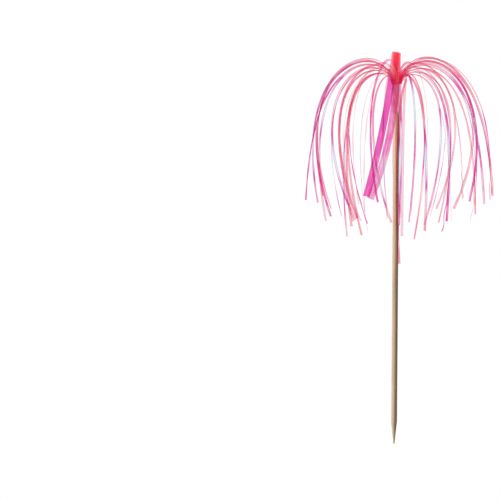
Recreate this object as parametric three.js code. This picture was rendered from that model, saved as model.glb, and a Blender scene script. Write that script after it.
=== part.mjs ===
// A firework cocktail pick: a pointed bamboo stick with a roll of fringed film round its top.
// The film's lower margin is left whole and rolled round the stick. Above it the film is slit into
// streamers, which rise out of the roll, arch over and hang like the sparks of a firework. Two wide
// strips stand up at the front, are folded over at the crest and hang down in front of the roll.
// Millimetres and degrees, +Z up. The origin is the sharp end of the stick and -Y is the front.
import * as THREE from "three";

// Stick
const STICK_DIAMETER = 3.0;
const STICK_LENGTH = 180;
const POINT_LENGTH = 11;
const POINT_TIP_DIAMETER = 0.6;
const STICK_END_CHAMFER = 0.25;
const STICK_SIDES = 28;

// Film and the roll that its whole margin makes round the stick
const FILM_THICKNESS = 0.08;
const TURN_CLEARANCE = 0.1; // air between one turn of the roll and the next
const STICK_CLEARANCE = 0.08; // air between the stick and the first turn
const BAND_HEIGHT = 14.5;
const BAND_STEP_ANGLE = 15;

// Streamers
const STREAMER_COUNT = 48;
const STREAMER_WIDTH = 1.1;
const SLIT_WIDTH = 0.1;
const STREAMER_LENGTH = 108; // the innermost streamers; the outer ones are cut shorter
const OUTER_LENGTH_LOSS = 15; // how much shorter the outermost streamers are
const UNEVEN_LENGTH = 6; // most that the cut leaves a streamer longer or shorter
const STREAMER_STEPS = 22;
const STEP_EXPONENT = 1.35; // above 1, steps are closer together near the root, where film bends most

// How a streamer falls. Angles are from straight up: 90 is level and 180 is straight down.
const ROOT_ANGLE_INNER = 12;
const ROOT_ANGLE_OUTER = 34;
const ROOT_BEND_LENGTH = 2.5;
const ARCH_LENGTH_INNER = 30.5; // length of film in the arch of the innermost streamers
const ARCH_LENGTH_OUTER = 12;
const ARCH_SHRINK_EXPONENT = 1.1; // how fast arches shrink from the inner turns of the roll to the outer
const ARCH_EXPONENT = 1.25;
const ARCH_VARIATION_RATIO = 0.04;
const FALL_ANGLE_INNER = 163;
const FALL_ANGLE_OUTER = 168;
const FALL_ANGLE_VARIATION = 5;
const TIP_ANGLE = 192;
const TIP_ANGLE_VARIATION = 18;
const CLUMP_COUNT = 9; // streamers hang in loose clumps, this many round the pick
const CLUMP_PULL_ANGLE = 2; // how far their headings turn towards the middle of a clump
const SIDE_PULL_ANGLE = 17; // how far they turn away from front and back, towards the two sides
const LANE_LENGTH = 12; // how soon after its root a streamer turns into its own heading
const FRONT_SPREAD_ANGLE = 8; // how far the outermost headings reach into the ribbons' sector
const TWIST_ANGLE_VARIATION = 60;
// The first streamers to the right of the ribbons stray: they hang in front of the stick.
const STRAYS = [
  { headingAngle: -138, archRatio: 0.4 },
  { headingAngle: -96, archRatio: 0.75 },
];
const STRAY_LANE_LENGTH = 6;
const STRAY_LANE_EXPONENT = 2; // they turn later than the others, clear of those that they stand among
const SCATTER_SEED = 35; // another seed gives other falls; with this one no streamer runs into another
const WALK_SUBSTEP_COUNT = 12; // a route is walked in this many fine steps between two of its stations

// Wide ribbons. The inner one stands on the last turn of the roll and the outer one on the turn before
// it. The outer one folds over the inner one at the crest, so the two hang in the same order. They
// belong to the same edge of the film as the outermost streamers, so they are as long.
const RIBBON_WIDTH = 3.4;
const RIBBON_OFFSET_ANGLE = 12; // the inner ribbon stands this far to the right, the outer one to the left
const RIBBON_EXTRA_LENGTH = 0.4; // how much longer than those streamers the ribbons were cut
const RIBBON_CREST_HEIGHT = 16; // top of the outer fold above the roll
const RIBBON_FOLD_RADIUS = 0.45; // the inner ribbon's fold
const RIBBON_NEST_GAP = 0.5; // air between the inner ribbon's fold and the outer one's
const RIBBON_LEAN_ANGLE = 7; // the standing ribbons lean in over the end of the stick
const RIBBON_FLAT_HEIGHT = 7; // the ribbons leave the roll curled round it and are flat by here
const RIBBON_HEADING_ANGLE = -94; // the way that the ribbons face, seen from above: front, a little left
const RIBBON_MARGIN_ANGLE = 9; // free angle between a ribbon's edge and the nearest streamers
const RIBBON_FACET_COUNT = 4; // flat facets across the width
const UNCURL_STEPS = 6;
const RISE_STEPS = 2;
const FOLD_STEPS = 10;
const LEAN_STEPS = 6;
const FALL_STEPS = 14;
const RIBBONS = [
  { name: "wide_ribbon_inner", side: 1, foldTilt: -1.1, leanOut: 4, flare: 12, sweep: 18 },
  { name: "wide_ribbon_outer", side: -1, foldTilt: -3.3, leanOut: 6, flare: 8, sweep: 6 },
];

const radians = THREE.MathUtils.degToRad;
const mix = THREE.MathUtils.lerp;
const stickRadius = STICK_DIAMETER / 2;
const bandTop = STICK_LENGTH;
const turnPitch = FILM_THICKNESS + TURN_CLEARANCE;
const firstTurnRadius = stickRadius + STICK_CLEARANCE + FILM_THICKNESS / 2;

// A repeatable scatter between -1 and 1, a different one for each quality of a streamer.
function scatter(index, quality) {
  const wave = Math.sin(index * 12.9898 + (quality + 10 * SCATTER_SEED) * 78.233) * 43758.5453;
  return 2 * (wave - Math.floor(wave)) - 1;
}

// The roll is a spiral: its radius grows by one pitch a turn. Angles along it are in radians.
const rollRadius = (angle) => firstTurnRadius + (turnPitch * angle) / (2 * Math.PI);
const rollArc = (angle) => firstTurnRadius * angle + (turnPitch * angle ** 2) / (4 * Math.PI);
function rollAngle(arc) {
  const square = firstTurnRadius ** 2 + (turnPitch * arc) / Math.PI;
  return ((Math.sqrt(square) - firstTurnRadius) * 2 * Math.PI) / turnPitch;
}

// Streamers stand turn by turn along the roll, evenly spread over the part of each turn that the
// ribbons leave free. The roll starts where the ribbons' sector ends.
function streamerRoots(openAngle) {
  const roots = [];
  for (let turn = 0; roots.length < STREAMER_COUNT; turn++) {
    const from = rollArc(turn * 2 * Math.PI);
    const to = rollArc(turn * 2 * Math.PI + openAngle);
    const count = Math.floor((to - from) / (STREAMER_WIDTH + SLIT_WIDTH));
    const pitch = (to - from) / count;
    for (let i = 0; i < count && roots.length < STREAMER_COUNT; i++)
      roots.push({ angle: rollAngle(from + (i + 0.5) * pitch), turn });
  }
  return roots;
}

// The ribbons' sector depends on the radius of the turn that they stand on, and that turn on the
// sector, so the two are settled together in a few passes.
function planRoll() {
  const passes = 6;
  const offset = radians(RIBBON_OFFSET_ANGLE);
  let half = radians(RIBBON_MARGIN_ANGLE) + offset;
  let roots = [];
  let ribbonAngles = [];
  for (let pass = 0; pass < passes; pass++) {
    const open = 2 * Math.PI - 2 * half;
    roots = streamerRoots(open);
    const lastTurn = roots[roots.length - 1].turn;
    ribbonAngles = RIBBONS.map(
      ({ side }, order) => (lastTurn - order) * 2 * Math.PI + open + half + side * offset,
    );
    const reach = RIBBON_WIDTH / 2 / rollRadius(ribbonAngles[1]);
    half = radians(RIBBON_MARGIN_ANGLE) + offset + reach;
  }
  const start = radians(RIBBON_HEADING_ANGLE) + half;
  giveLanes(roots, start, 2 * Math.PI - 2 * half);
  return { start, roots, ribbonAngles };
}

// Each streamer gets a heading of its own to fall along, in the order in which they stand round the
// stick whatever their turn, so that past the neck no two of them meet.
function giveLanes(roots, start, openAngle) {
  const spread = radians(FRONT_SPREAD_ANGLE);
  const place = ({ angle }) => angle % (2 * Math.PI);
  const ordered = [...roots].sort((a, b) => place(a) - place(b));
  ordered.forEach((root, rank) => {
    const even = start - spread + ((openAngle + 2 * spread) * (rank + 0.5)) / ordered.length;
    root.heading = start + place(root);
    const clump = radians(CLUMP_PULL_ANGLE) * Math.sin(CLUMP_COUNT * even);
    const side = radians(SIDE_PULL_ANGLE) * Math.sin(2 * even);
    root.lane = even - clump - side;
    root.settled = (s) => 1 - Math.exp(-s / LANE_LENGTH);
    root.archRatio = 1;
  });
  STRAYS.forEach(({ headingAngle, archRatio }, rank) => {
    const settled = (s) => 1 - Math.exp(-((s / STRAY_LANE_LENGTH) ** STRAY_LANE_EXPONENT));
    Object.assign(ordered[rank], { lane: radians(headingAngle), settled, archRatio });
  });
}

const roll = planRoll();

// A strip of film along a route. Each station of the route has a centre, the direction of the
// strip's width, its normal, and the radius of the curl across its width (Infinity where flat).
function stripGeometry(stations, width, facets) {
  const half = FILM_THICKNESS / 2;
  const positions = [];
  const ring = 2 * (facets + 1);
  for (const { centre, across, normal, curl } of stations) {
    const row = [];
    for (let i = 0; i <= facets; i++) {
      const along = width * (i / facets - 0.5);
      const turned = along / curl;
      const sideways = Number.isFinite(curl) ? curl * Math.sin(turned) : along;
      const back = Number.isFinite(curl) ? curl * (1 - Math.cos(turned)) : 0;
      const outward = normal
        .clone()
        .multiplyScalar(Math.cos(turned))
        .addScaledVector(across, Math.sin(turned));
      const middle = centre.clone().addScaledVector(across, sideways).addScaledVector(normal, -back);
      row.push({ middle, outward });
    }
    for (const { middle, outward } of row)
      positions.push(middle.clone().addScaledVector(outward, half));
    for (const { middle, outward } of row.reverse())
      positions.push(middle.clone().addScaledVector(outward, -half));
  }
  const index = [];
  for (let s = 0; s + 1 < stations.length; s++)
    for (let i = 0; i < ring; i++) {
      const a = s * ring + i;
      const b = s * ring + ((i + 1) % ring);
      index.push(a, b, b + ring, a, b + ring, a + ring);
    }
  const last = (stations.length - 1) * ring;
  for (let i = 0; i < facets; i++) {
    const j = ring - 1 - i;
    index.push(i, j, i + 1, j, j - 1, i + 1);
    index.push(last + i, last + i + 1, last + j, last + j, last + i + 1, last + j - 1);
  }
  return closedGeometry(positions, index);
}

function closedGeometry(points, index) {
  const geometry = new THREE.BufferGeometry().setFromPoints(points);
  geometry.setIndex(index);
  geometry.computeVertexNormals();
  return geometry;
}

// Walks a route of the given length. slope(s) is the angle from straight up, and heading(s) the
// direction seen from above, both in radians after s millimetres of film.
function walk(start, length, steps, crowding, slope, heading, twist) {
  const at = (k) => length * (k / steps) ** crowding;
  const point = start.clone();
  const stations = [];
  for (let k = 0; k <= steps; k++) {
    const s = at(k);
    const tangent = direction(slope(s), heading(s));
    const level = new THREE.Vector3(-Math.sin(heading(s)), Math.cos(heading(s)), 0);
    const across = level.applyAxisAngle(tangent, twist(s));
    const normal = new THREE.Vector3().crossVectors(across, tangent);
    stations.push({ s, centre: point.clone(), across, normal, curl: Infinity });
    if (k === steps) break;
    const stride = (at(k + 1) - s) / WALK_SUBSTEP_COUNT;
    for (let i = 0; i < WALK_SUBSTEP_COUNT; i++) {
      const middle = s + (i + 0.5) * stride;
      point.addScaledVector(direction(slope(middle), heading(middle)), stride);
    }
  }
  return stations;
}

function direction(slope, heading) {
  return new THREE.Vector3(
    Math.sin(slope) * Math.cos(heading),
    Math.sin(slope) * Math.sin(heading),
    Math.cos(slope),
  );
}

function streamerStations(index, root) {
  const share = index / (STREAMER_COUNT - 1);
  const { heading, lane, settled, archRatio } = root;
  const radius = rollRadius(root.angle);
  const length = STREAMER_LENGTH - OUTER_LENGTH_LOSS * share + UNEVEN_LENGTH * scatter(index, 1);
  const arch =
    mix(ARCH_LENGTH_INNER, ARCH_LENGTH_OUTER, share ** ARCH_SHRINK_EXPONENT) *
    (1 + ARCH_VARIATION_RATIO * scatter(index, 2)) *
    archRatio;
  const lean = radians(mix(ROOT_ANGLE_INNER, ROOT_ANGLE_OUTER, share));
  const meanFall = mix(FALL_ANGLE_INNER, FALL_ANGLE_OUTER, share);
  const fall = radians(meanFall + FALL_ANGLE_VARIATION * scatter(index, 3));
  const tip = radians(TIP_ANGLE + TIP_ANGLE_VARIATION * scatter(index, 4));
  const turned = radians(TWIST_ANGLE_VARIATION * scatter(index, 5));
  return walk(
    new THREE.Vector3(radius * Math.cos(heading), radius * Math.sin(heading), bandTop),
    length,
    STREAMER_STEPS,
    STEP_EXPONENT,
    (s) =>
      lean * (1 - Math.exp(-s / ROOT_BEND_LENGTH)) +
      (fall - lean) * (1 - Math.exp(-((s / arch) ** ARCH_EXPONENT))) +
      (tip - fall) * (s / length),
    (s) => heading + (lane - heading) * settled(s),
    (s) => turned * (s / length),
  );
}

// A wide ribbon rises straight from the roll, is folded forwards round a small radius and falls in
// front of it. A tilted fold sends the fall to one side, and a sweep curves it further that way.
function ribbonStations({ side, foldTilt, leanOut, flare, sweep }, order, angle) {
  const start = roll.start + angle;
  const radius = rollRadius(angle);
  const foldRadius = RIBBON_FOLD_RADIUS + (order * (turnPitch + RIBBON_NEST_GAP)) / 2;
  const rise = RIBBON_CREST_HEIGHT - foldRadius - (1 - order) * RIBBON_NEST_GAP;
  const normal = new THREE.Vector3(Math.cos(start), Math.sin(start), 0);
  const across = new THREE.Vector3(-normal.y, normal.x, 0);
  const tangent = new THREE.Vector3(0, 0, 1);
  const point = normal.clone().multiplyScalar(radius).setZ(bandTop);
  const stations = [];
  let walked = 0;

  function mark() {
    const flat = Math.min(1, walked / RIBBON_FLAT_HEIGHT);
    const curl = flat < 1 ? radius / (1 - flat) : Infinity;
    stations.push({ centre: point.clone(), across: across.clone(), normal: normal.clone(), curl });
  }

  // Goes on for a length of film while it turns about the given axes, each with its whole angle.
  function run(length, steps, ...turns) {
    const stride = length / steps;
    const turnHalfStep = () => {
      for (const [axis, whole] of turns) {
        const fixed = axis.clone();
        for (const part of [tangent, across, normal]) part.applyAxisAngle(fixed, whole / steps / 2);
      }
    };
    for (let k = 0; k < steps; k++) {
      turnHalfStep();
      point.addScaledVector(tangent, stride);
      turnHalfStep();
      walked += stride;
      mark();
    }
  }

  mark();
  const turnBack = -side * radians(RIBBON_OFFSET_ANGLE);
  run(RIBBON_FLAT_HEIGHT, UNCURL_STEPS, [tangent, turnBack], [across, -radians(RIBBON_LEAN_ANGLE)]);
  run(rise - RIBBON_FLAT_HEIGHT, RISE_STEPS);
  const tilt = radians(foldTilt);
  const foldAxis = across.clone().applyAxisAngle(normal, tilt);
  run((Math.PI * foldRadius) / Math.cos(tilt), FOLD_STEPS, [foldAxis, Math.PI]);
  run(rise, LEAN_STEPS, [across, -radians(leanOut)]);
  const wholeLength = STREAMER_LENGTH - OUTER_LENGTH_LOSS + RIBBON_EXTRA_LENGTH;
  run(wholeLength - walked, FALL_STEPS, [across, -radians(flare)], [normal, radians(sweep)]);
  return stations;
}

// The stick: a round rod with a flat sawn top end and a long taper to a blunt point.
function stickGeometry() {
  const profile = [
    new THREE.Vector2(0, 0),
    new THREE.Vector2(POINT_TIP_DIAMETER / 2, 0),
    new THREE.Vector2(stickRadius, POINT_LENGTH),
    new THREE.Vector2(stickRadius, STICK_LENGTH - STICK_END_CHAMFER),
    new THREE.Vector2(stickRadius - STICK_END_CHAMFER, STICK_LENGTH),
    new THREE.Vector2(0, STICK_LENGTH),
  ];
  return new THREE.LatheGeometry(profile, STICK_SIDES).rotateX(Math.PI / 2);
}

// The film's whole margin, rolled round the stick as one long spiral.
function bandGeometry(endAngle) {
  const half = FILM_THICKNESS / 2;
  const steps = Math.ceil(endAngle / radians(BAND_STEP_ANGLE));
  const outer = [];
  const inner = [];
  for (let k = 0; k <= steps; k++) {
    const angle = (endAngle * k) / steps;
    const turned = roll.start + angle;
    const ray = new THREE.Vector2(Math.cos(turned), Math.sin(turned));
    outer.push(ray.clone().multiplyScalar(rollRadius(angle) + half));
    inner.push(ray.clone().multiplyScalar(rollRadius(angle) - half));
  }
  const outline = new THREE.Shape([...outer, ...inner.reverse()]);
  const solid = new THREE.ExtrudeGeometry(outline, { depth: BAND_HEIGHT, bevelEnabled: false });
  return solid.translate(0, 0, bandTop - BAND_HEIGHT);
}

function material(colour, roughness) {
  return new THREE.MeshStandardMaterial({ color: colour, roughness, metalness: 0 });
}

const bamboo = material("#d9bb94", 0.6);
const rolledFilm = material("#c2304f", 0.25);
const film = material("#e0457f", 0.2);

const pick = new THREE.Group();

function add(name, geometry, finish) {
  const mesh = new THREE.Mesh(geometry, finish);
  mesh.name = name;
  pick.add(mesh);
}

const rollEnd = roll.ribbonAngles[0] + RIBBON_WIDTH / 2 / rollRadius(roll.ribbonAngles[0]);
add("stick", stickGeometry(), bamboo);
add("film_band", bandGeometry(rollEnd), rolledFilm);
RIBBONS.forEach((ribbon, order) => {
  const stations = ribbonStations(ribbon, order, roll.ribbonAngles[order]);
  add(ribbon.name, stripGeometry(stations, RIBBON_WIDTH, RIBBON_FACET_COUNT), film);
});
roll.roots.forEach((root, index) => {
  const name = `streamer_${String(index + 1).padStart(2, "0")}`;
  add(name, stripGeometry(streamerStations(index, root), STREAMER_WIDTH, 1), film);
});

export default pick;
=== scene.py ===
"""Firework cocktail pick: a pointed bamboo stick with a roll of fringed film round its top.

The film's whole margin is rolled round the stick. Above it the film is slit into streamers that
arch over and hang, and two wide ribbons are folded over at the crest and hang at the front.
Sizes are in metres and angles in radians. +Z is up, -Y is the front.
"""

import math
from enum import IntEnum
from typing import NamedTuple

import bmesh
import bpy
from bpy.props import FloatProperty, FloatVectorProperty, IntProperty, PointerProperty
from bpy.types import Operator, Panel, PropertyGroup
from mathutils import Matrix, Vector


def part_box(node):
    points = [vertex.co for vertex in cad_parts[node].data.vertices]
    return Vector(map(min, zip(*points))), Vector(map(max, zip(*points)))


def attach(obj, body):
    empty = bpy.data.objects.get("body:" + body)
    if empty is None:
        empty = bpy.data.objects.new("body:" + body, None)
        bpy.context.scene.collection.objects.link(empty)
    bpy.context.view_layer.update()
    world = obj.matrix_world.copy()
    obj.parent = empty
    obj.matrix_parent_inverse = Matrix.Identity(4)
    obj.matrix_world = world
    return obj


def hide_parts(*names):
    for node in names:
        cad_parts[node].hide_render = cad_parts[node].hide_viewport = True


bl_info = {
    "name": "Firework Cocktail Pick",
    "version": (1, 0, 0),
    "blender": (4, 5, 0),
    "location": "View3D > Sidebar > Pick",
    "description": "Builds a bamboo cocktail pick with a firework of film streamers",
    "category": "Object",
}

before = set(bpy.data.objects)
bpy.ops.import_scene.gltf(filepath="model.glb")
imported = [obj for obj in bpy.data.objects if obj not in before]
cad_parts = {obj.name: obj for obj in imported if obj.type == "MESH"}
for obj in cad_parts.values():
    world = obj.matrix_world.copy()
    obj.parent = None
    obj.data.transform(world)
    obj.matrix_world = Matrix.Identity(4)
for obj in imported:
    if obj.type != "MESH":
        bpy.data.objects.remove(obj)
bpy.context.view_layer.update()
STICK_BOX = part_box("stick")
ROLL_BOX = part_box("film_band")
STREAMER_NODES = sorted(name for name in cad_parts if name.startswith("streamer_"))


def size(name, description, default, least=0.0):
    return FloatProperty(
        name=name, description=description, default=default, min=least, precision=5, unit="LENGTH"
    )


def angle(name, description, degrees):
    return FloatProperty(
        name=name, description=description, default=math.radians(degrees), subtype="ANGLE"
    )


def factor(name, description, default):
    return FloatProperty(name=name, description=description, default=default, precision=3)


def count(name, description, default, least=1):
    return IntProperty(name=name, description=description, default=default, min=least)


def colour(name, description, red, green, blue):
    return FloatVectorProperty(
        name=name,
        description=description,
        default=(red, green, blue, 1.0),
        size=4,
        min=0.0,
        max=1.0,
        subtype="COLOR",
    )


class StickSettings(PropertyGroup):
    diameter: size("Diameter", "Thickness of the stick", STICK_BOX[1].x - STICK_BOX[0].x)
    length: size("Length", "Whole length of the stick", STICK_BOX[1].z)
    point_length: size("Point length", "Length of the taper at the lower end", 0.011)
    tip_diameter: size("Tip diameter", "Thickness of the blunt tip", 0.0006)
    end_rounding: size("End rounding", "Rounding of the sawn top edge", 0.00025)
    flattening: size("Flattening", "How far the stick departs from round", 0.00006)
    cuts: count("Cuts", "Flat cuts round the whittled point", 5)
    sides: count("Sides", "Facets round the stick", 64, 12)
    point_rows: count("Point rows", "Rows of the mesh along the point", 10)
    rod_rows: count("Rod rows", "Rows of the mesh above the point", 40)
    edge_rows: count("Edge rows", "Rows of the mesh round the sawn top edge", 3)
    wood: colour("Bamboo", "Colour of the pale bamboo", 0.84, 0.64, 0.45)
    fibre: colour("Fibre", "Colour of the darker fibres", 0.56, 0.36, 0.20)
    mark: colour("Marks", "Colour of the small dark marks near the point", 0.20, 0.10, 0.05)


class FilmSettings(PropertyGroup):
    thickness: size("Thickness", "Thickness of the film", 0.00008)
    turn_clearance: size("Turn clearance", "Air between one turn of the roll and the next", 0.0001)
    stick_clearance: size("Stick clearance", "Air between the stick and the first turn", 0.00008)
    margin: size("Margin", "Height of the roll", ROLL_BOX[1].z - ROLL_BOX[0].z)
    wrinkle: size("Wrinkle", "Depth of the soft wrinkles in the roll", 0.00003)
    step: angle("Step", "Turn from one column of the roll's mesh to the next", 5)
    rows: count("Rows", "Rows of the roll's mesh", 10)


class StreamerSettings(PropertyGroup):
    width: size("Width", "Width of one streamer", 0.0011)
    slit: size("Slit", "Width lost between two streamers", 0.0001)
    length: size("Length", "Length of the innermost streamers", 0.108)
    outer_loss: size("Outer loss", "How much shorter the outermost streamers are", 0.015)
    uneven: size("Uneven cut", "Most that the cut leaves a streamer longer or shorter", 0.006)
    root_inner: angle("Inner root angle", "Lean of the innermost streamers at the root", 12)
    root_outer: angle("Outer root angle", "Lean of the outermost streamers at the root", 34)
    root_bend: size("Root bend", "Length in which a streamer bends to its lean", 0.0025)
    arch_inner: size("Inner arch", "Length of film in the innermost arches", 0.0305)
    arch_outer: size("Outer arch", "Length of film in the outermost arches", 0.012)
    arch_shrink: factor("Arch shrink", "How fast arches shrink from inner to outer turns", 1.1)
    arch_exponent: factor("Arch exponent", "How sudden the arch's bend is", 1.25)
    arch_variation: factor("Arch variation", "Share by which arches differ", 0.04)
    fall_inner: angle("Inner fall", "Direction in which the innermost streamers fall", 163)
    fall_outer: angle("Outer fall", "Direction in which the outermost streamers fall", 168)
    fall_variation: angle("Fall variation", "Spread of the falls", 5)
    tip: angle("Tip", "Direction of the streamers at their tips", 192)
    tip_variation: angle("Tip variation", "Spread of the tips", 18)
    clumps: count("Clumps", "Loose clumps round the pick", 9, 0)
    clump_pull: angle("Clump pull", "How far headings turn towards a clump's middle", 2)
    side_pull: angle("Side pull", "How far headings turn away from front and back", 17)
    lane: size("Lane", "How soon a streamer turns into its own heading", 0.012)
    stray_lane: size("Stray lane", "How soon the strays turn into their headings", 0.006)
    front_spread: angle("Front spread", "Reach of the outermost headings into the front", 8)
    twist: angle("Twist", "Most that a streamer turns about itself", 75)
    twist_least: factor("Least twist", "Least twist, as a share of the most", 0.12)
    twist_length: size("Twist length", "How soon after its root a streamer is turned", 0.014)
    flutter: angle("Flutter", "Slow rocking of a streamer about itself", 8)
    flutter_length: size("Flutter length", "Length of one rocking", 0.021)
    flutter_variation: factor("Flutter variation", "Share by which rockings differ", 0.35)
    flutter_start: factor("Flutter start", "Share of the length in which it grows full", 0.35)
    crinkle: size("Crinkle", "Depth of the waves near the tips of a few streamers", 0.0008)
    crinkle_length: size("Crinkle length", "Length of one soft wave", 0.0115)
    crinkle_variation: factor("Crinkle variation", "Share by which the waves differ", 0.4)
    cup: angle("Cup", "How far a streamer is curled across its width", 40)
    facets: count("Facets", "Facets across a streamer", 2)
    steps: count("Steps", "Steps along a streamer", 96, 8)
    step_exponent: factor("Step exponent", "Crowds the steps towards the root", 1.35)
    seed: count("Seed", "Chooses how the streamers scatter", 35, 0)


class RibbonSettings(PropertyGroup):
    width: size("Width", "Width of a wide ribbon", 0.0034)
    offset: angle("Offset", "Turn of the inner ribbon to the right and the outer to the left", 12)
    extra: size("Extra length", "How much longer than the outermost streamers it is", 0.0004)
    crest: size("Crest height", "Top of the outer fold above the roll", 0.016)
    fold_radius: size("Fold radius", "Radius of the inner ribbon's fold", 0.00045)
    nest_gap: size("Nest gap", "Air between the inner fold and the outer one", 0.0005)
    lean: angle("Lean", "How far the standing ribbons lean in over the stick", 7)
    flat_height: size("Flat height", "Height by which the curl from the roll is gone", 0.007)
    heading: angle("Heading", "The way the ribbons face, seen from above", -94)
    margin: angle("Margin", "Free angle between a ribbon's edge and the streamers", 9)
    facets: count("Facets", "Facets across a ribbon", 10)


class StageSettings(PropertyGroup):
    key_strength: factor("Key", "Strength of the lamp at the left", 2.8)
    key_spread: angle("Key spread", "How wide the lamp is, which softens shadows", 14)
    fill_strength: factor("Fill", "Strength of the soft light all round", 0.16)
    gloss_strength: factor("Gloss", "Strength of that light in glossy reflections", 0.6)
    floor_tone: factor("Floor tone", "Share of the light that the floor gives back", 0.4)
    floor_lift: factor("Floor lift", "What is added where the floor is seen", 0.8)
    view_height: size("View height", "Height of the picture", 0.25)
    view_x: size("View X", "Middle of the picture to the right of the point", -0.07266, -1.0)
    view_z: size("View Z", "Middle of the picture above the point", 0.09632, -1.0)
    tilt: angle("Tilt", "How far the stick leans to the right in the picture", 0.42)


# The film's shape


class Quality(IntEnum):
    """What differs from streamer to streamer, each by a scatter of its own."""

    LENGTH = 1
    ARCH = 2
    FALL = 3
    TIP = 4
    TWIST = 5
    FLUTTER_PHASE = 6
    FLUTTER_LENGTH = 7
    CRINKLE_PHASE = 8
    CRINKLE_LENGTH = 9
    TINT = 10
    CRINKLE = 12
    GLINT_PLACE = 14
    GLINT = 83


def scatter(index, quality):
    """A repeatable scatter between -1 and 1 for one quality of a streamer.

    The numbers are those of the usual sine hash.
    """
    seed = bpy.context.scene.pick_streamers.seed
    wave = math.sin(index * 12.9898 + (quality + 10 * seed) * 78.233) * 43758.5453
    return 2 * (wave - math.floor(wave)) - 1


def mix(low, high, share):
    return low + (high - low) * share


def direction(slope, heading):
    """The way a piece of film runs, from its angle to straight up and its heading from above."""
    return Vector(
        (
            math.sin(slope) * math.cos(heading),
            math.sin(slope) * math.sin(heading),
            math.cos(slope),
        )
    )


# The first streamers to the right of the ribbons stray: they hang in front of the stick. Each has
# its heading in degrees, the share of the usual arch that it makes, and the turn about itself that
# shows its face to the front.
STRAYS = ((-138, 0.4, -48), (-96, 0.75, -6))
STRIDES = 4  # straight strides of a streamer's middle line from one of its sections to the next
LEAST_CUP = 1e-4  # a streamer with less cup is as good as flat
SETTLING_ROUNDS = 6  # rounds in which the ribbons' angles and the streamers' opening settle


class Section(NamedTuple):
    """How a strip of film lies at one place along it."""

    centre: Vector
    across: Vector
    normal: Vector
    share: float  # how far along the strip it is
    curl: float  # radius of the curve across the strip


class Roll:
    """The spiral that the film's margin makes round the stick, and what stands on it."""

    def __init__(self, scene):
        self.stick, self.film = scene.pick_stick, scene.pick_film
        self.streamers, self.ribbons = scene.pick_streamers, scene.pick_ribbons
        film = self.film
        self.pitch = film.thickness + film.turn_clearance
        self.first = self.stick.diameter / 2 + film.stick_clearance + film.thickness / 2
        self.top = self.stick.length
        offset = self.ribbons.offset
        half = self.ribbons.margin + offset
        for _ in range(SETTLING_ROUNDS):
            opening = 2 * math.pi - 2 * half
            roots = self.place_roots(opening)
            last = roots[-1][1]
            middle = opening + half
            self.ribbon_angles = [
                last * 2 * math.pi + middle + offset,
                (last - 1) * 2 * math.pi + middle - offset,
            ]
            reach = self.ribbons.width / 2 / self.radius(self.ribbon_angles[1])
            half = self.ribbons.margin + offset + reach
        self.start = self.ribbons.heading + half
        self.opening = 2 * math.pi - 2 * half
        self.roots = [turned for turned, _ in roots]
        order = sorted(range(len(roots)), key=lambda i: self.roots[i] % (2 * math.pi))
        self.strays = order[: len(STRAYS)]
        self.lanes = self.share_lanes(order)
        reach = self.ribbons.width / 2 / self.radius(self.ribbon_angles[0])
        self.end = self.ribbon_angles[0] + reach

    def radius(self, turned):
        return self.first + self.pitch * turned / (2 * math.pi)

    def arc(self, turned):
        return self.first * turned + self.pitch * turned**2 / (4 * math.pi)

    def turned(self, arc):
        square = self.first**2 + self.pitch * arc / math.pi
        return (math.sqrt(square) - self.first) * 2 * math.pi / self.pitch

    def place_roots(self, opening):
        """Streamers stand turn by turn, evenly spread over what the ribbons leave free."""
        roots, turn = [], 0
        while len(roots) < len(STREAMER_NODES):
            low = self.arc(turn * 2 * math.pi)
            high = self.arc(turn * 2 * math.pi + opening)
            held = math.floor((high - low) / (self.streamers.width + self.streamers.slit))
            pitch = (high - low) / held
            roots += [(self.turned(low + (i + 0.5) * pitch), turn) for i in range(held)]
            turn += 1
        return roots[: len(STREAMER_NODES)]

    def share_lanes(self, order):
        """Each streamer falls along a heading of its own, in the order they stand in."""
        settings = self.streamers
        spread = settings.front_spread
        lanes = [0.0] * len(order)
        for rank, index in enumerate(order):
            share = (rank + 0.5) / len(order)
            even = self.start - spread + (self.opening + 2 * spread) * share
            clump = settings.clump_pull * math.sin(settings.clumps * even)
            side = settings.side_pull * math.sin(2 * even)
            lanes[index] = even - clump - side
        for index, (stray_heading, _, _) in zip(self.strays, STRAYS):
            lanes[index] = math.radians(stray_heading)
        return lanes


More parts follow.
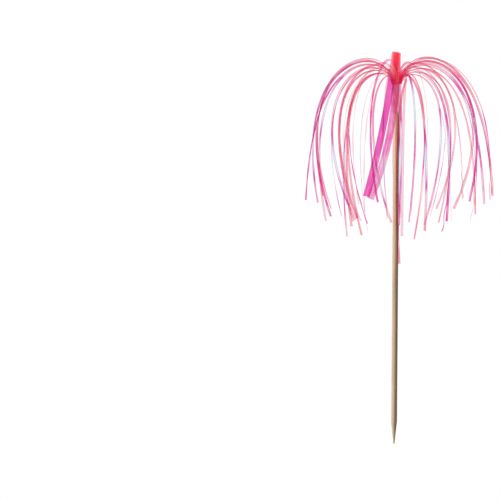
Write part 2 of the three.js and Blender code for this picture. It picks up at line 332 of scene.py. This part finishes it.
def streamer_route(roll, index):
    """Sections of one streamer from root to tip."""
    s = roll.streamers
    share = index / (len(roll.roots) - 1)
    heading = roll.start + roll.roots[index] % (2 * math.pi)
    lane = roll.lanes[index]
    length = s.length - s.outer_loss * share + s.uneven * scatter(index, Quality.LENGTH)
    arch = mix(s.arch_inner, s.arch_outer, share**s.arch_shrink)
    arch *= 1 + s.arch_variation * scatter(index, Quality.ARCH)
    lean = mix(s.root_inner, s.root_outer, share)
    fall = mix(s.fall_inner, s.fall_outer, share)
    fall += s.fall_variation * scatter(index, Quality.FALL)
    tip = s.tip + s.tip_variation * scatter(index, Quality.TIP)
    twisted = scatter(index, Quality.TWIST)
    twist = math.copysign(s.twist * mix(s.twist_least, 1.0, abs(twisted)), twisted)
    stray = index in roll.strays
    if stray:
        _, arch_share, turn_back = STRAYS[roll.strays.index(index)]
        arch *= arch_share
        twist = math.radians(turn_back)
    flutter_phase = math.pi * scatter(index, Quality.FLUTTER_PHASE)
    flutter_share = s.flutter_variation * scatter(index, Quality.FLUTTER_LENGTH)
    flutter_length = s.flutter_length * (1 + flutter_share)
    crinkle = s.crinkle * max(0.0, scatter(index, Quality.CRINKLE)) ** 3  # few have much of it
    crinkle_phase = math.pi * scatter(index, Quality.CRINKLE_PHASE)
    crinkle_share = s.crinkle_variation * scatter(index, Quality.CRINKLE_LENGTH)
    crinkle_length = s.crinkle_length * (1 + crinkle_share)
    curl = s.width / max(s.cup, LEAST_CUP)

    def slope(at):
        bend = lean * (1 - math.exp(-at / s.root_bend))
        over = (fall - lean) * (1 - math.exp(-((at / arch) ** s.arch_exponent)))
        return bend + over + (tip - fall) * at / length

    def aim(at):
        late = (at / s.stray_lane) ** 2 if stray else at / s.lane
        return heading + (lane - heading) * (1 - math.exp(-late))

    radius = roll.radius(roll.roots[index])
    point = Vector((radius * math.cos(heading), radius * math.sin(heading), roll.top))
    sections = []
    for k in range(s.steps + 1):
        at = length * (k / s.steps) ** s.step_exponent
        tangent = direction(slope(at), aim(at))
        level = Vector((-math.sin(aim(at)), math.cos(aim(at)), 0))
        loose = min(1.0, at / (s.flutter_start * length))
        rocking = math.sin(2 * math.pi * at / flutter_length + flutter_phase)
        turned = twist * (1 - math.exp(-((at / s.twist_length) ** 2)))
        turned += s.flutter * loose * rocking
        across = Matrix.Rotation(turned, 3, tangent) @ level
        normal = across.cross(tangent)
        wave = math.sin(2 * math.pi * at / crinkle_length + crinkle_phase)
        shift = crinkle * (at / length) ** 8 * wave  # the power keeps it near the tip
        sections.append(Section(point + shift * normal, across, normal, at / length, curl))
        if k < s.steps:
            stride = (length * ((k + 1) / s.steps) ** s.step_exponent - at) / STRIDES
            for i in range(STRIDES):
                middle = at + (i + 0.5) * stride
                point = point + stride * direction(slope(middle), aim(middle))
    return sections


# The wide ribbons, the inner one first: the tilt of the fold, and the lean, the outward curve and
# the sideways curve of the fall, all in degrees, and the tint of the hanging part
WIDE_RIBBONS = (
    {"name": "wide_ribbon_inner", "tilt": -1.1, "lean": 4, "flare": 12, "sweep": 18, "tint": 0.545},
    {"name": "wide_ribbon_outer", "tilt": -3.3, "lean": 6, "flare": 8, "sweep": 6, "tint": 0.60},
)


def ribbon_route(roll, order):
    """Sections of a wide ribbon, which rises from the roll, is folded forwards and falls."""
    r = roll.ribbons
    tilt, lean_out, flare, sweep = (
        math.radians(WIDE_RIBBONS[order][key]) for key in ("tilt", "lean", "flare", "sweep")
    )
    turned = roll.ribbon_angles[order]
    facing = roll.start + turned
    radius = roll.radius(turned)
    fold = r.fold_radius + order * (roll.pitch + r.nest_gap) / 2
    rise = r.crest - fold - (1 - order) * r.nest_gap
    whole = roll.streamers.length - roll.streamers.outer_loss + r.extra
    normal = Vector((math.cos(facing), math.sin(facing), 0))
    axes = {
        "normal": normal,
        "across": Vector((-normal.y, normal.x, 0)),
        "tangent": Vector((0, 0, 1)),
    }
    point = normal * radius
    point.z = roll.top
    sections = []
    walked = 0.0

    def mark():
        flat = min(1.0, walked / r.flat_height)
        curl = radius / (1 - flat) if flat < 1 else math.inf
        place = point.copy()
        sections.append(Section(place, axes["across"], axes["normal"], walked / whole, curl))

    def turn(name, amount):
        spin = Matrix.Rotation(amount, 3, axes[name])
        for key in axes:
            axes[key] = spin @ axes[key]

    def run(length, *turns, steps):
        """Goes on for a length of film while it turns about the named axes, as they then lie."""
        nonlocal point, walked
        for _ in range(steps):
            for name, whole_turn in turns:
                turn(name, whole_turn / steps / 2)
            point = point + axes["tangent"] * (length / steps)
            for name, whole_turn in turns:
                turn(name, whole_turn / steps / 2)
            walked += length / steps
            mark()

    mark()
    turn_back = -r.offset if order == 0 else r.offset
    run(r.flat_height, ("tangent", turn_back), ("across", -r.lean), steps=14)
    run(rise - r.flat_height, steps=8)
    axes["fold"] = Matrix.Rotation(tilt, 3, axes["normal"]) @ axes["across"]
    run(math.pi * fold / math.cos(tilt), ("fold", math.pi), steps=24)
    run(rise, ("across", -lean_out), steps=14)
    run(whole - walked, ("across", -flare), ("normal", sweep), steps=46)
    return sections


def cross_place(section, along_width):
    """A point of a section's middle surface and the way its skin faces there."""
    centre, across, normal, _, curl = section
    if math.isinf(curl):
        return centre + across * along_width, normal.copy()
    turned = along_width / curl
    outward = normal * math.cos(turned) + across * math.sin(turned)
    place = centre + across * curl * math.sin(turned) - normal * curl * (1 - math.cos(turned))
    return place, outward


def sharpen_rims(shape, limit=0.6):
    """Marks a solid's edges sharp where its faces meet at more than the limit."""
    for edge in shape.edges:
        edge.smooth = edge.calc_face_angle(0.0) < limit
    for face in shape.faces:
        face.smooth = True


def finish_object(shape, name, material, nodes):
    """Makes the bmesh an object that rides on the pick and stands for its CAD nodes."""
    mesh = bpy.data.meshes.new(name)
    shape.to_mesh(mesh)
    shape.free()
    mesh.materials.append(material)
    piece = bpy.data.objects.new(name, mesh)
    bpy.context.scene.collection.objects.link(piece)
    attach(piece, "root")
    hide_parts(*nodes)


def bend_film(node, sections, width, facets, thickness, tint, material):
    """Bends a flat strip of film along its sections and gives it its thickness.

    The grid's first direction is the strip's width and its second runs along the route. tint is a
    function of the share of the length that gives the film's place in its colour scale.
    """
    shape = bmesh.new()
    shape.loops.layers.uv.new("UVMap")
    scale = shape.verts.layers.float.new("tint")
    steps = len(sections) - 1
    bmesh.ops.create_grid(shape, x_segments=facets, y_segments=steps, size=1.0, calc_uvs=True)
    for vert in shape.verts:
        column = round((vert.co.x + 1) / 2 * facets)
        row = round((vert.co.y + 1) / 2 * steps)
        section = sections[row]
        place, outward = cross_place(section, width * (column / facets - 0.5))
        vert.co = place + outward * (thickness / 2)
        vert[scale] = tint(section.share)
    bmesh.ops.solidify(shape, geom=shape.faces[:], thickness=thickness)
    sharpen_rims(shape)
    finish_object(shape, node + "_film", material, [node])


# Finishes


def add_node(tree, kind, **values):
    node = tree.nodes.new(kind)
    for key, value in values.items():
        if hasattr(node, key):
            setattr(node, key, value)
        else:
            node.inputs[key.replace("_", " ")].default_value = value
    return node


def new_finish(name):
    material = bpy.data.materials.new(name)
    material.use_nodes = True
    tree = material.node_tree
    surface = tree.nodes["Principled BSDF"]
    return material, tree, surface


def colour_scale(tree, stops):
    """A colour ramp from a list of (place, (red, green, blue))."""
    ramp = tree.nodes.new("ShaderNodeValToRGB")
    elements = ramp.color_ramp.elements
    while len(elements) > 1:
        elements.remove(elements[-1])
    elements[0].position = stops[0][0]
    elements[0].color = (*stops[0][1], 1.0)
    for place, tone in stops[1:]:
        element = elements.new(place)
        element.color = (*tone, 1.0)
    return ramp


def feed(tree, sockets, values):
    """Gives each socket its value, which is another node's socket or a plain value."""
    for socket, value in zip(sockets, values):
        if hasattr(value, "is_output"):
            tree.links.new(value, socket)
        else:
            socket.default_value = value


# A Mix node's sockets for values and for colours have the same names, so they go by number


def blend_colours(tree, share, first, second, mode="MIX"):
    node = tree.nodes.new("ShaderNodeMix")
    node.data_type = "RGBA"
    node.blend_type = mode
    feed(tree, node.inputs[:1] + node.inputs[6:8], (share, first, second))
    return node.outputs[2]


def blend_values(tree, share, first, second):
    node = tree.nodes.new("ShaderNodeMix")
    feed(tree, node.inputs[:1] + node.inputs[2:4], (share, first, second))
    return node.outputs[0]


def combine(tree, operation, first, second):
    node = add_node(tree, "ShaderNodeMath", operation=operation)
    feed(tree, node.inputs[:2], (first, second))
    return node.outputs[0]


def remap(tree, value, low, high, to_low=0.0, to_high=1.0):
    """Takes the value from one range to another and holds it there."""
    node = tree.nodes.new("ShaderNodeMapRange")
    sockets = [node.inputs[key] for key in ("Value", "From Min", "From Max", "To Min", "To Max")]
    feed(tree, sockets, (value, low, high, to_low, to_high))
    return node.outputs["Result"]


def spread(tree, pattern, low, high):
    """Takes a noise pattern, which is seldom below 0.3 or above 0.7, to a range of its own."""
    return remap(tree, pattern, 0.3, 0.7, low, high)


def measure(tree, stretch, kind="Object"):
    """Coordinates of the piece, multiplied along each axis, for a texture."""
    source = tree.nodes.new("ShaderNodeTexCoord")
    mapping = tree.nodes.new("ShaderNodeMapping")
    mapping.inputs["Scale"].default_value = stretch
    tree.links.new(source.outputs[kind], mapping.inputs["Vector"])
    return mapping.outputs["Vector"]


def noise(tree, vector, detail=2.0, roughness=0.5):
    node = add_node(tree, "ShaderNodeTexNoise", Scale=1.0, Detail=detail, Roughness=roughness)
    tree.links.new(vector, node.inputs["Vector"])
    return node.outputs["Fac"]


def seen_rays(tree):
    """1 for what is seen by itself or through the clear film, 0 for the light that it gives."""
    rays = tree.nodes.new("ShaderNodeLightPath").outputs
    return combine(tree, "MAXIMUM", rays["Is Camera Ray"], rays["Is Transmission Ray"])


def bump(tree, surface, height, strength, distance):
    node = add_node(tree, "ShaderNodeBump", Strength=strength, Distance=distance)
    tree.links.new(height, node.inputs["Height"])
    tree.links.new(node.outputs["Normal"], surface.inputs["Normal"])


# How many times each pattern changes in a metre of the piece along X, Y and Z
FINE_FIBRES = (2600, 2600, 42)
BROAD_FIBRES = (900, 900, 9)
SPECKS = (1500, 1500, 260)
CLOUDS = (90, 90, 120)
MARKS_REACH = 2.2  # how high the dark marks go, in lengths of the point


def bamboo_finish(settings):
    """Pale bamboo with its fibres along the stick and small dark marks near the point."""
    material, tree, surface = new_finish("bamboo")
    link = tree.links.new
    fine = noise(tree, measure(tree, FINE_FIBRES), detail=4.0, roughness=0.6)
    broad = noise(tree, measure(tree, BROAD_FIBRES))
    fibres = remap(tree, fine, 0.42, 0.72)
    tone = blend_colours(tree, fibres, settings.wood, settings.fibre)
    broad_share = remap(tree, broad, 0.35, 0.75, 0.0, 0.55)
    tone = blend_colours(tree, broad_share, tone, settings.fibre)
    specks = noise(tree, measure(tree, SPECKS))
    place = tree.nodes.new("ShaderNodeSeparateXYZ")
    link(tree.nodes.new("ShaderNodeTexCoord").outputs["Object"], place.inputs["Vector"])
    low = remap(tree, place.outputs["Z"], settings.point_length * MARKS_REACH, 0.0)
    spots = remap(tree, specks, 0.66, 0.72)
    tone = blend_colours(tree, combine(tree, "MULTIPLY", low, spots), tone, settings.mark)
    link(tone, surface.inputs["Base Color"])
    link(spread(tree, fine, 0.52, 0.72), surface.inputs["Roughness"])
    bump(tree, surface, fine, strength=0.35, distance=0.00008)
    return material


# The colour of one layer of film by its tint: the reds of the crest and the roots, coral, pale
# rose, magenta and purple, then lilac, pale blue and mint, which are painted glints of the film's
# iridescent sheen
FILM_SCALE = (
    (0.00, (1.00, 0.50, 0.60)),
    (0.08, (1.00, 0.36, 0.38)),
    (0.14, (0.99, 0.34, 0.54)),
    (0.21, (0.90, 0.29, 0.48)),
    (0.26, (0.95, 0.40, 0.46)),
    (0.32, (0.96, 0.58, 0.66)),
    (0.36, (0.96, 0.66, 0.75)),
    (0.44, (0.94, 0.72, 0.83)),
    (0.52, (0.90, 0.46, 0.70)),
    (0.60, (0.86, 0.08, 0.46)),
    (0.68, (0.64, 0.26, 0.62)),
    (0.76, (0.80, 0.46, 0.84)),
    (0.84, (0.82, 0.72, 0.96)),
    (0.92, (0.76, 0.90, 0.97)),
    (1.00, (0.68, 0.94, 0.84)),
)
ROLL_SCALE = (
    (0.00, (0.99, 0.90, 0.95)),
    (0.50, (0.99, 0.94, 0.97)),
    (1.00, (0.98, 0.96, 0.99)),
)
# painted shade laid along the rims of the strips, for film seen edge-on
RIM_SHADE_TONE = (0.76, 0.10, 0.26, 1.0)

# Places in these scales
ROLL_TINT = 0.5
CREST_TINT = 0.04
ROOT_TINT = 0.18
FULL_RIM_SHADE_TINT = 0.26  # from here on the painted rim shade is at its deepest
STRAY_TINT = 0.27
OWN_TINTS = (0.20, 0.61)  # the least and the most of the streamers' own tints
# painted glint: the pale blue that some streamers take part way along, for the film's iridescent
# sheen
GLINT_TINT = 0.92

# How the tint goes along a ribbon or a streamer, in shares of its length
CREST_END = 0.20  # where a ribbon's crest tint begins to give way
CREST_FADE = 0.14
ROOT_FADE = 0.20
ROOT_EXPONENT = 1.4  # how sudden the end of the root tint is
# where along a streamer its painted glint lies, how far that place scatters and how long the glint
# is
GLINT_MIDDLE = 0.62
GLINT_SCATTER = 0.2
GLINT_REACH = 0.16


def film_finish(name, stops, clearness, cloud_reach, streaks, streak_reach, rim_shade, coat):
    """Clear film, coloured by its tint, which is a place in the scale of stops.

    The tint drifts in streaks and, away from the roots, in soft clouds, and there the cut rims,
    each a share of the width, get a painted shade, deeper than the face, that stands in for film
    seen edge-on. streaks says how many there are along the film's U and V.
    """
    material, tree, surface = new_finish(name)
    link = tree.links.new
    attribute = tree.nodes.new("ShaderNodeAttribute")
    attribute.attribute_name = "tint"
    tint = attribute.outputs["Fac"]
    cloud = noise(tree, measure(tree, CLOUDS))
    streak = noise(tree, measure(tree, (*streaks, 1), "UV"))
    away = remap(tree, tint, 0.10, 0.35)
    drift = combine(tree, "MULTIPLY", away, spread(tree, cloud, -cloud_reach, cloud_reach))
    place = combine(tree, "ADD", tint, drift)
    place = combine(tree, "ADD", place, spread(tree, streak, -streak_reach, streak_reach))
    scale = colour_scale(tree, stops)
    link(place, scale.inputs["Fac"])
    tone = scale.outputs["Color"]
    # painted shade: the strip's rims are multiplied by a deep rose, as film seen edge-on looks
    # darker
    if rim_shade:
        across = tree.nodes.new("ShaderNodeSeparateXYZ")
        link(tree.nodes.new("ShaderNodeUVMap").outputs["UV"], across.inputs["Vector"])
        inwards = combine(tree, "PINGPONG", across.outputs["X"], 0.5)
        edge = remap(tree, inwards, rim_shade, rim_shade / 2)
        edge = combine(tree, "MULTIPLY", edge, remap(tree, tint, ROOT_TINT, FULL_RIM_SHADE_TINT))
        tone = blend_colours(tree, edge, tone, RIM_SHADE_TONE, "MULTIPLY")
    link(tone, surface.inputs["Base Color"])
    link(spread(tree, streak, 0.12, 0.26), surface.inputs["Roughness"])
    surface.inputs["Transmission Weight"].default_value = clearness
    surface.inputs["IOR"].default_value = 1.0  # so thin a film bends no light to speak of
    surface.inputs["Coat Weight"].default_value = coat
    surface.inputs["Coat Roughness"].default_value = 0.12
    return material


# Pieces

TOUCHING = 1e-7  # points of the stick's mesh no further apart than this are at one place
CUT_REACH = 1.1  # how high the flat cuts go, in lengths of the point
CUT_DEPTH = 2.2  # their depth at the tip, in flattenings
ROD_DEPTH = 0.2  # how far the rod above departs from round, in flattenings


class PICK_OT_stick(Operator):
    """Turns the bamboo stick, with its long blunt point and sawn top end"""

    bl_idname = "pick.stick"
    bl_label = "Bamboo Stick"

    def execute(self, context):
        s = context.scene.pick_stick
        radius = s.diameter / 2
        shape = bmesh.new()
        heights = [s.point_length * k / s.point_rows for k in range(s.point_rows)]
        heights += [mix(s.point_length, s.length, k / s.rod_rows) for k in range(s.rod_rows + 1)]
        profile = []
        for height in heights:
            taper = min(1.0, height / s.point_length)
            profile.append(shape.verts.new((mix(s.tip_diameter / 2, radius, taper), 0, height)))
        for low, high in zip(profile, profile[1:]):
            shape.edges.new((low, high))
        bmesh.ops.spin(
            shape,
            geom=shape.verts[:] + shape.edges[:],
            axis=(0, 0, 1),
            cent=(0, 0, 0),
            steps=s.sides,
            angle=2 * math.pi,
            use_merge=True,
        )
        bmesh.ops.remove_doubles(shape, verts=shape.verts[:], dist=TOUCHING)
        bmesh.ops.holes_fill(shape, edges=[e for e in shape.edges if e.is_boundary], sides=0)
        top = [e for e in shape.edges if all(v.co.z > s.length - TOUCHING for v in e.verts)]
        bmesh.ops.bevel(
            shape,
            geom=top,
            offset=s.end_rounding,
            affect="EDGES",
            segments=s.edge_rows,
            profile=0.5,
            material=-1,
        )
        for vert in shape.verts:
            around = math.atan2(vert.co.y, vert.co.x)
            cut = max(0.0, 1 - vert.co.z / (s.point_length * CUT_REACH))
            depth = s.flattening / radius * (ROD_DEPTH + CUT_DEPTH * cut)
            slimmed = 1 - depth * (1 + math.cos(s.cuts * around + 0.7))
            vert.co.x *= slimmed
            vert.co.y *= slimmed
        bmesh.ops.recalc_face_normals(shape, faces=shape.faces[:])
        sharpen_rims(shape, limit=0.9)
        finish_object(shape, "bamboo_stick", bamboo_finish(s), ["stick"])
        return {"FINISHED"}


class PICK_OT_roll(Operator):
    """Rolls the film's whole margin round the top of the stick"""

    bl_idname = "pick.roll"
    bl_label = "Film Roll"

    def execute(self, context):
        roll = Roll(context.scene)
        film = roll.film
        steps = math.ceil(roll.end / film.step)
        shape = bmesh.new()
        uv = shape.loops.layers.uv.new("UVMap")
        scale = shape.verts.layers.float.new("tint")
        bmesh.ops.create_grid(
            shape, x_segments=film.rows, y_segments=steps, size=1.0, calc_uvs=True
        )
        for vert in shape.verts:
            height = (vert.co.x + 1) / 2
            turned = roll.end * (vert.co.y + 1) / 2
            # Two waves that cross, 3 and 7 of them to a turn, make the soft wrinkles
            soft = math.sin(height * 5.1 + 3 * turned) + math.sin(7 * turned - height * 3.0)
            radius = roll.radius(turned) - film.thickness / 2 + film.wrinkle * soft / 2
            around = roll.start + turned
            vert.co = (
                radius * math.cos(around),
                radius * math.sin(around),
                roll.top - film.margin * (1 - height),
            )
            vert[scale] = ROLL_TINT
        for face in shape.faces:
            for loop in face.loops:
                height, along = loop[uv].uv
                loop[uv].uv = (along, height)
        bmesh.ops.recalc_face_normals(shape, faces=shape.faces[:])
        bmesh.ops.solidify(shape, geom=shape.faces[:], thickness=film.thickness)
        bmesh.ops.recalc_face_normals(shape, faces=shape.faces[:])
        sharpen_rims(shape)
        finish = film_finish(
            "rolled_film",
            ROLL_SCALE,
            clearness=0.98,
            cloud_reach=0.3,
            streaks=(70.2, 0.6),
            streak_reach=0.2,
            rim_shade=0.0,
            coat=0.1,
        )
        finish_object(shape, "film_roll", finish, ["film_band"])
        return {"FINISHED"}


class PICK_OT_wide_ribbons(Operator):
    """Folds the two wide ribbons over at the crest and hangs them at the front"""

    bl_idname = "pick.wide_ribbons"
    bl_label = "Wide Ribbons"

    def execute(self, context):
        roll = Roll(context.scene)
        r, thickness = roll.ribbons, roll.film.thickness
        finish = film_finish(
            "ribbon_film",
            FILM_SCALE,
            clearness=0.95,
            cloud_reach=0.03,
            streaks=(6, 4),
            streak_reach=0.04,
            rim_shade=0.05,
            coat=0.15,
        )
        for order, ribbon in enumerate(WIDE_RIBBONS):

            # the crest's red giving way to the hanging tint is the film's own colour; the pale rose
            # band the tint passes on the way, below the crest, is a painted highlight
            def tint(share, hanging=ribbon["tint"]):
                below_crest = min(1.0, max(0.0, (share - CREST_END) / CREST_FADE))
                return mix(CREST_TINT, hanging, below_crest)

            sections = ribbon_route(roll, order)
            bend_film(ribbon["name"], sections, r.width, r.facets, thickness, tint, finish)
        return {"FINISHED"}


class PICK_OT_streamers(Operator):
    """Fans the narrow streamers out of the roll, each arching over and hanging by itself"""

    bl_idname = "pick.streamers"
    bl_label = "Streamers"

    def execute(self, context):
        roll = Roll(context.scene)
        s, thickness = roll.streamers, roll.film.thickness
        finish = film_finish(
            "streamer_film",
            FILM_SCALE,
            clearness=0.96,
            cloud_reach=0.06,
            streaks=(2, 4),
            streak_reach=0.04,
            rim_shade=0.16,
            coat=0.02,
        )
        for index, node in enumerate(STREAMER_NODES):
            own = mix(*OWN_TINTS, 0.5 + 0.5 * scatter(index, Quality.TINT))
            if index == roll.strays[0]:
                own = STRAY_TINT
            # painted glint: about half the streamers turn pale blue part way along, standing in for
            # the film's iridescent sheen
            pale = min(1.0, max(0.0, 3 * scatter(index, Quality.GLINT)))  # 0 on half of them
            glint_place = GLINT_MIDDLE + GLINT_SCATTER * scatter(index, Quality.GLINT_PLACE)

            def tint(share, own=own, pale=pale, glint_place=glint_place):
                away = 1 - math.exp(-((share / ROOT_FADE) ** ROOT_EXPONENT))
                near_glint = math.exp(-(((share - glint_place) / GLINT_REACH) ** 2))
                return mix(mix(ROOT_TINT, own, away), GLINT_TINT, pale * near_glint)

            sections = streamer_route(roll, index)
            bend_film(node, sections, s.width, s.facets, thickness, tint, finish)
        return {"FINISHED"}


# Stage

FLOOR_REACH = 3.0  # from the middle of the floor to its edges
KEY_DIRECTION = (-0.90, -0.42, 0.45)  # from the pick towards the lamp
VIEW_DISTANCE = 1.0  # from the pick to the camera, in front of it
SIGHT = 20.0  # how far the camera sees
FILM_BOUNCES = 64  # light passes both skins of every turn of the roll on both sides of the stick


class PICK_OT_stage(Operator):
    """Sets the pale floor, the soft light and the camera in front of the pick"""

    bl_idname = "pick.stage"
    bl_label = "Stage"

    def execute(self, context):
        scene = context.scene
        s = scene.pick_stage
        shape = bmesh.new()
        bmesh.ops.create_grid(shape, x_segments=1, y_segments=1, size=FLOOR_REACH)
        mesh = bpy.data.meshes.new("floor")
        shape.to_mesh(mesh)
        shape.free()
        floor = bpy.data.objects.new("floor", mesh)
        scene.collection.objects.link(floor)
        material, tree, surface = new_finish("floor_white")
        surface.inputs["Base Color"].default_value = (*[s.floor_tone] * 3, 1.0)
        surface.inputs["Roughness"].default_value = 0.9
        surface.inputs["Emission Color"].default_value = (1.0, 1.0, 1.0, 1.0)
        lift = combine(tree, "MULTIPLY", seen_rays(tree), s.floor_lift)
        tree.links.new(lift, surface.inputs["Emission Strength"])
        mesh.materials.append(material)

        lamp = bpy.data.lights.new("key", "SUN")
        lamp.energy = s.key_strength
        lamp.angle = s.key_spread
        key = bpy.data.objects.new("key", lamp)
        scene.collection.objects.link(key)
        key.rotation_euler = Vector(KEY_DIRECTION).to_track_quat("Z", "Y").to_euler()

        world = bpy.data.worlds.new("soft_light")
        world.use_nodes = True
        scene.world = world
        tree = world.node_tree
        background = tree.nodes["Background"]
        background.inputs["Color"].default_value = (1.0, 1.0, 1.0, 1.0)
        glossy = tree.nodes.new("ShaderNodeLightPath").outputs["Is Glossy Ray"]
        given = blend_values(tree, glossy, s.fill_strength, s.gloss_strength)
        strength = blend_values(tree, seen_rays(tree), given, 1.0)
        tree.links.new(strength, background.inputs["Strength"])

        camera = bpy.data.cameras.new("front_view")
        camera.type = "ORTHO"
        camera.ortho_scale = s.view_height
        camera.clip_end = SIGHT
        view = bpy.data.objects.new("front_view", camera)
        scene.collection.objects.link(view)
        view.location = (s.view_x, -VIEW_DISTANCE, s.view_z)
        view.rotation_euler = (math.pi / 2, -s.tilt, 0)
        scene.camera = view
        scene.view_settings.view_transform = "Standard"
        scene.cycles.max_bounces = FILM_BOUNCES
        scene.cycles.transmission_bounces = FILM_BOUNCES
        return {"FINISHED"}


# Add-on


class PICK_PT_panel(Panel):
    """Lists the pick's pieces and their main sizes"""

    bl_label = "Firework Cocktail Pick"
    bl_idname = "PICK_PT_panel"
    bl_space_type = "VIEW_3D"
    bl_region_type = "UI"
    bl_category = "Pick"

    def draw(self, context):
        layout = self.layout
        for group, operators in PANEL_ORDER:
            box = layout.box()
            settings = getattr(context.scene, group)
            for key in settings.bl_rna.properties.keys():
                if key not in ("rna_type", "name"):
                    box.prop(settings, key)
            for operator in operators:
                box.operator(operator)


PANEL_ORDER = (
    ("pick_stick", ("pick.stick",)),
    ("pick_film", ("pick.roll",)),
    ("pick_ribbons", ("pick.wide_ribbons",)),
    ("pick_streamers", ("pick.streamers",)),
    ("pick_stage", ("pick.stage",)),
)
SETTINGS = {
    "pick_stick": StickSettings,
    "pick_film": FilmSettings,
    "pick_ribbons": RibbonSettings,
    "pick_streamers": StreamerSettings,
    "pick_stage": StageSettings,
}
OPERATORS = (
    PICK_OT_stick,
    PICK_OT_roll,
    PICK_OT_wide_ribbons,
    PICK_OT_streamers,
    PICK_OT_stage,
)


def register():
    for settings in SETTINGS.values():
        bpy.utils.register_class(settings)
    for name, settings in SETTINGS.items():
        setattr(bpy.types.Scene, name, PointerProperty(type=settings))
    for operator in OPERATORS:
        bpy.utils.register_class(operator)
    bpy.utils.register_class(PICK_PT_panel)


def unregister():
    bpy.utils.unregister_class(PICK_PT_panel)
    for operator in reversed(OPERATORS):
        bpy.utils.unregister_class(operator)
    for name in SETTINGS:
        delattr(bpy.types.Scene, name)
    for settings in reversed(list(SETTINGS.values())):
        bpy.utils.unregister_class(settings)


def main():
    register()
    bpy.ops.pick.stick()
    bpy.ops.pick.roll()
    bpy.ops.pick.wide_ribbons()
    bpy.ops.pick.streamers()
    bpy.ops.pick.stage()


if __name__ == "__main__":
    main()
